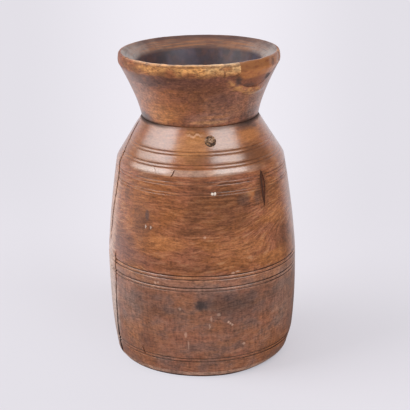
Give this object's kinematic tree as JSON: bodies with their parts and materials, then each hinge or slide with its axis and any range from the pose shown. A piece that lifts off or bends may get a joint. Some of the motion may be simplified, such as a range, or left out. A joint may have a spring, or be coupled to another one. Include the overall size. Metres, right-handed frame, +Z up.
{
  "type": "turned wooden vase",
  "caption": "Old turned wooden vase: full round body with cut lines, cone shoulder, narrow neck and flared collar with a bevelled rim, let-in foot disc, rim repair, knot and bark pocket.",
  "frame": {"origin": "on the floor, under the middle of the foot", "axes": "+Z up along the turning axis; -Y is the front that the picture shows; +X is to its right"},
  "size_m": [0.1606, 0.1606, 0.265],
  "materials": {
    "body_wood": "old waxed hardwood, satin, worn and stained",
    "collar_wood": "old waxed hardwood, satin, worn pale at the rim",
    "base_wood": "dry bare hardwood, matt",
    "patch_wood": "redder waxed hardwood, satin, with a dark joint",
    "knot_wood": "dead knot, matt and rough",
    "bark": "dark bark and resin, matt"
  },
  "bodies": {
    "root": {"body": "body_wood", "neck_collar": "collar_wood", "base_disc": "base_wood", "rim_patch": "patch_wood", "shoulder_knot": "knot_wood", "bark_pocket": "bark"}
  },
  "joints": []
}
